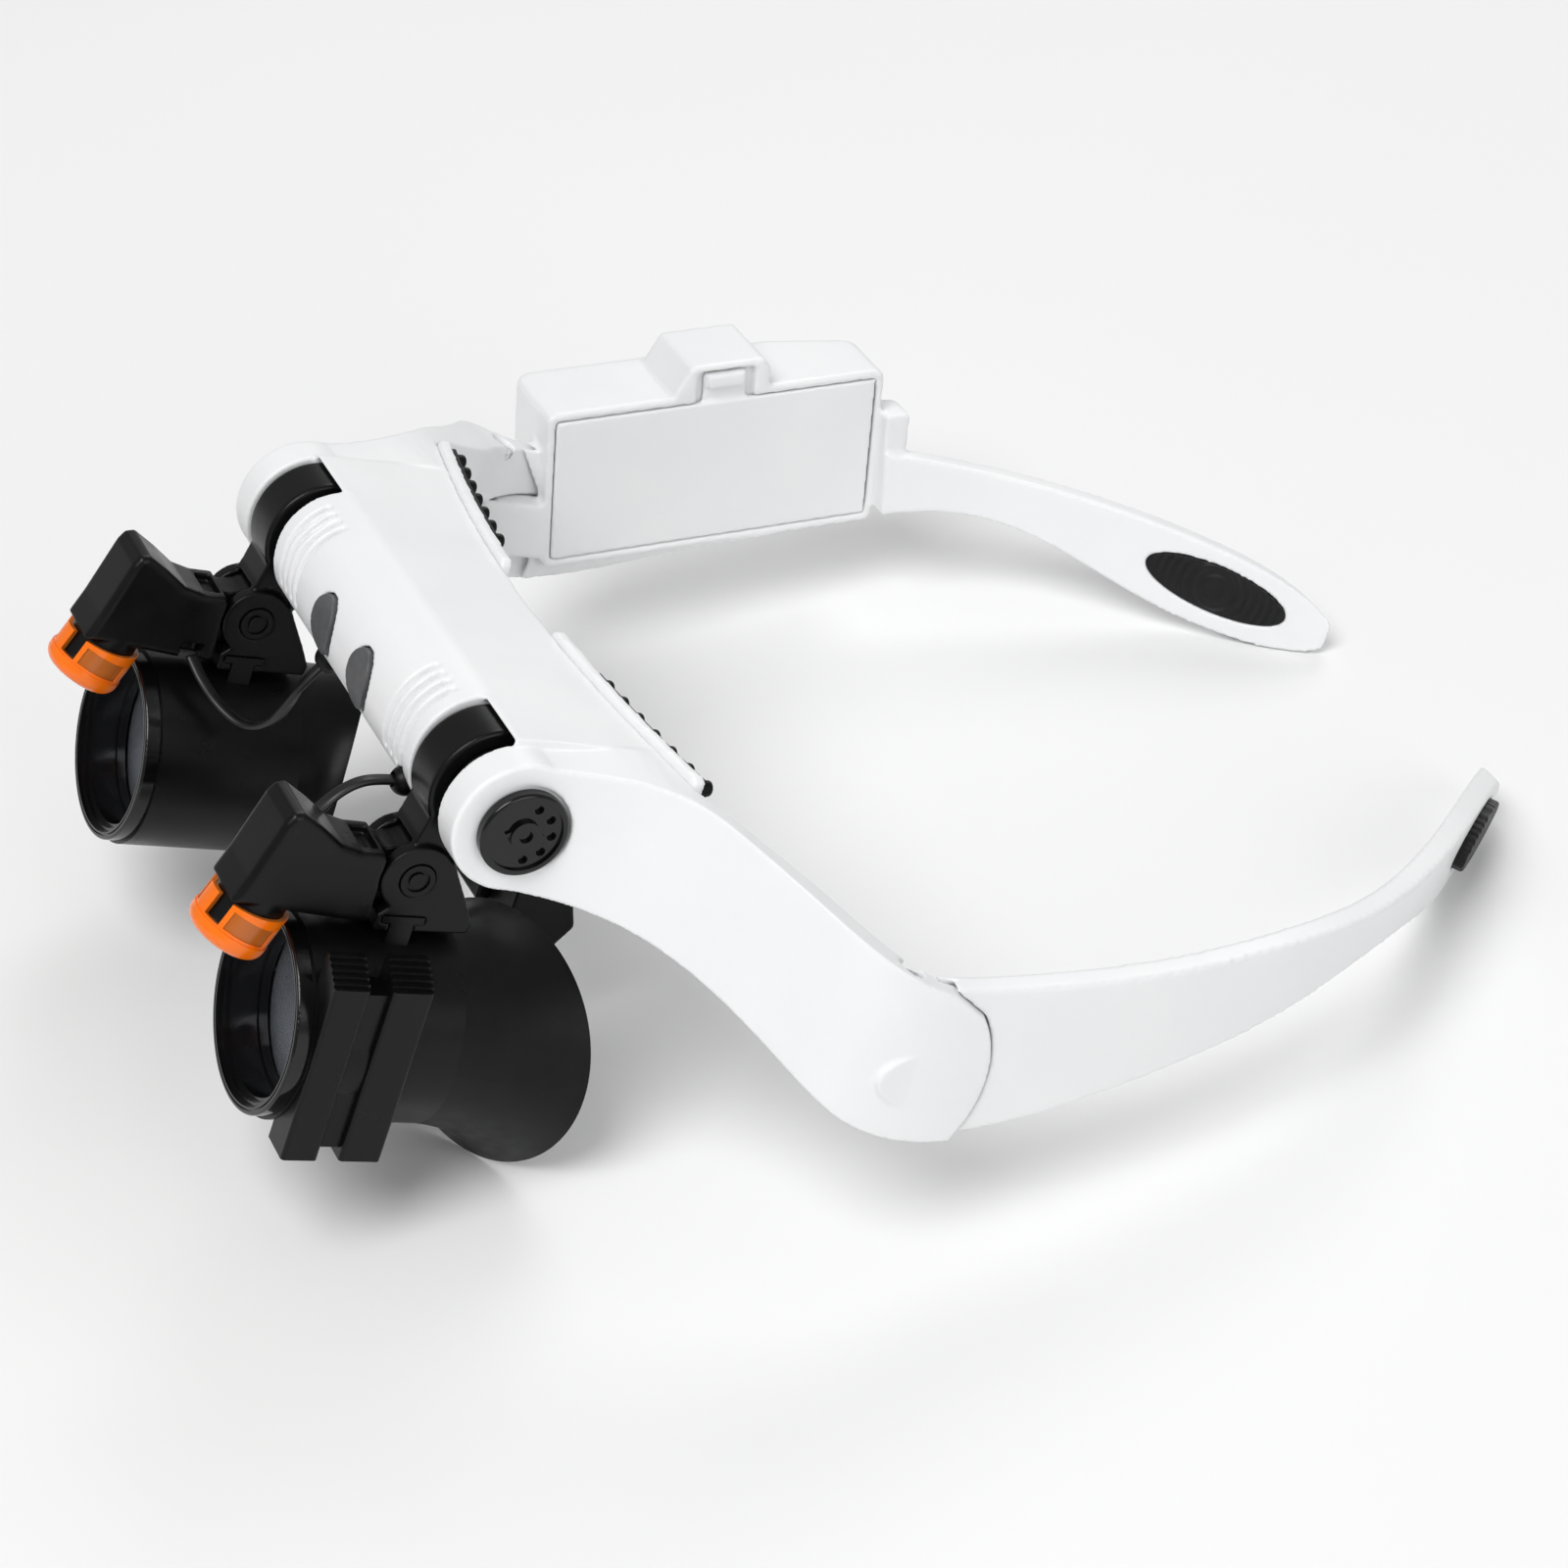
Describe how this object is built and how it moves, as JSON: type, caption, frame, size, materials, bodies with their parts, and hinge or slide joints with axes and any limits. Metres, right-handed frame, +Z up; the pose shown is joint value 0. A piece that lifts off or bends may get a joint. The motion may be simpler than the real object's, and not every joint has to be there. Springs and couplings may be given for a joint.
{
  "type": "head visor magnifier",
  "caption": "Head-worn magnifier: white brow frame with swing-up loupes and lamps, folding temples and a battery case moulded into the right temple.",
  "frame": {"origin": "middle of the floor footprint, on the surface that the eyecup rims and the temple tips stand on", "axes": "+X to the wearer's left, +Y back along the temples, +Z up from the table"},
  "size_m": [0.1598, 0.1967, 0.0672],
  "materials": {
    "white_plastic": "satin moulded ABS",
    "black_plastic": "semi-matt black ABS",
    "black_rubber": "soft matt rubber",
    "orange_plastic": "translucent orange plastic",
    "grey_plastic": "dark grey button plastic",
    "lens_glass": "coated optical glass",
    "led_resin": "clear epoxy",
    "steel": "bright steel",
    "contact_plate": "nickel-plated spring brass",
    "cell_jacket": "plain printed cell jacket",
    "circuit_board": "green board lacquer",
    "lead_jacket": "soft PVC jacket"
  },
  "bodies": {
    "frame": {"brow_shell": "white_plastic", "brow_cover": "white_plastic", "cover_screws": "steel", "switch_board": "circuit_board", "pivot_shaft": "steel", "nose_bracket": "black_plastic", "nose_pad": "black_rubber", "left_lead": "lead_jacket", "right_lead": "lead_jacket", "left_forehead_plate": "white_plastic", "right_forehead_plate": "white_plastic", "left_forehead_pad": "black_rubber", "right_forehead_pad": "black_rubber", "left_lead_gland": "black_rubber", "right_lead_gland": "black_rubber", "left_hinge_screw": "steel", "right_hinge_screw": "steel"},
    "left_disc": {"left_knob": "black_plastic"},
    "right_disc": {"right_knob": "black_plastic"},
    "left_switch": {"left_button": "grey_plastic"},
    "right_switch": {"right_button": "grey_plastic"},
    "left_side": {"left_temple": "white_plastic", "left_tip_pad": "black_rubber"},
    "right_side": {"right_temple": "white_plastic", "right_tip_pad": "black_rubber", "battery_cells": "cell_jacket", "battery_contacts": "contact_plate"},
    "lid": {"battery_lid": "white_plastic"},
    "left_bushing": {"left_bush": "black_plastic"},
    "left_swing": {"left_swing_arm": "black_plastic", "left_lamp_pin": "black_plastic"},
    "left_lamp": {"left_lamp_housing": "black_plastic", "left_lamp_led": "led_resin", "left_lamp_seat": "black_plastic"},
    "left_cap": {"left_lamp_cap": "orange_plastic"},
    "left_loupe": {"left_lens_barrel": "black_plastic", "left_grip_bars": "black_plastic", "left_bezel_ring": "black_plastic", "left_retaining_ring": "black_plastic", "left_objective_lens": "lens_glass", "left_eye_lens": "lens_glass", "left_eyecup": "black_rubber"},
    "right_bushing": {"right_bush": "black_plastic"},
    "right_swing": {"right_swing_arm": "black_plastic", "right_lamp_pin": "black_plastic"},
    "right_lamp": {"right_lamp_housing": "black_plastic", "right_lamp_led": "led_resin", "right_lamp_seat": "black_plastic"},
    "right_cap": {"right_lamp_cap": "orange_plastic"},
    "right_loupe": {"right_lens_barrel": "black_plastic", "right_grip_bars": "black_plastic", "right_bezel_ring": "black_plastic", "right_retaining_ring": "black_plastic", "right_objective_lens": "lens_glass", "right_eye_lens": "lens_glass", "right_eyecup": "black_rubber"}
  },
  "joints": [
    {"name": "left_flip_up", "type": "hinge", "parent": "frame", "child": "left_bushing", "pos_m": [0.00463, -0.05888, 0.05772], "axis": [-1, 0, 0], "range_deg": [0, 90], "deforming": ["left_lead"]},
    {"name": "left_pupil_slide", "type": "slide", "parent": "left_bushing", "child": "left_swing", "axis": [1, 0, 0], "range_m": [0, 0.0027]},
    {"name": "left_lamp_tilt", "type": "hinge", "parent": "left_swing", "child": "left_lamp", "pos_m": [0.00463, -0.07024, 0.04814], "axis": [-1, 0, 0], "range_deg": [0, 20]},
    {"name": "left_cap_pull", "type": "slide", "parent": "left_lamp", "child": "left_cap", "axis": [0, -0.6884, -0.7254], "range_m": [0, 0.006]},
    {"name": "left_loupe_release", "type": "slide", "parent": "left_swing", "child": "left_loupe", "axis": [1, 0, 0], "range_m": [0, 0.009]},
    {"name": "left_disc_turn", "type": "hinge", "parent": "frame", "child": "left_disc", "pos_m": [0.00463, -0.05888, 0.05772], "axis": [1, 0, 0], "range_deg": [-90, 90]},
    {"name": "left_button_press", "type": "slide", "parent": "frame", "child": "left_switch", "axis": [0, 0.9317, -0.3633], "range_m": [0, 0.0008], "stiffness_N_per_m": 400},
    {"name": "right_flip_up", "type": "hinge", "parent": "frame", "child": "right_bushing", "pos_m": [0.00463, -0.05888, 0.05772], "axis": [-1, 0, 0], "range_deg": [0, 90], "deforming": ["right_lead"]},
    {"name": "right_pupil_slide", "type": "slide", "parent": "right_bushing", "child": "right_swing", "axis": [1, 0, 0], "range_m": [0, 0.0027]},
    {"name": "right_lamp_tilt", "type": "hinge", "parent": "right_swing", "child": "right_lamp", "pos_m": [0.00463, -0.07024, 0.04814], "axis": [-1, 0, 0], "range_deg": [0, 20]},
    {"name": "right_cap_pull", "type": "slide", "parent": "right_lamp", "child": "right_cap", "axis": [0, -0.6884, -0.7254], "range_m": [0, 0.006]},
    {"name": "right_loupe_release", "type": "slide", "parent": "right_swing", "child": "right_loupe", "axis": [-1, 0, 0], "range_m": [0, 0.009]},
    {"name": "right_disc_turn", "type": "hinge", "parent": "frame", "child": "right_disc", "pos_m": [0.00463, -0.05888, 0.05772], "axis": [-1, 0, 0], "range_deg": [-90, 90]},
    {"name": "right_button_press", "type": "slide", "parent": "frame", "child": "right_switch", "axis": [0, 0.9317, -0.3633], "range_m": [0, 0.0008], "stiffness_N_per_m": 400},
    {"name": "left_temple_fold", "type": "hinge", "parent": "frame", "child": "left_side", "pos_m": [0.07563, -0.02427, 0.02812], "axis": [0, 0.3633, 0.9317], "range_deg": [0, 70]},
    {"name": "right_temple_fold", "type": "hinge", "parent": "frame", "child": "right_side", "pos_m": [-0.06637, -0.02427, 0.02812], "axis": [0, 0.3633, 0.9317], "range_deg": [-62, 0]},
    {"name": "lid_open", "type": "hinge", "parent": "right_side", "child": "lid", "pos_m": [-0.06437, 0.01329, 0.01812], "axis": [0, 0.9949, -0.1011], "range_deg": [0, 70]}
  ]
}
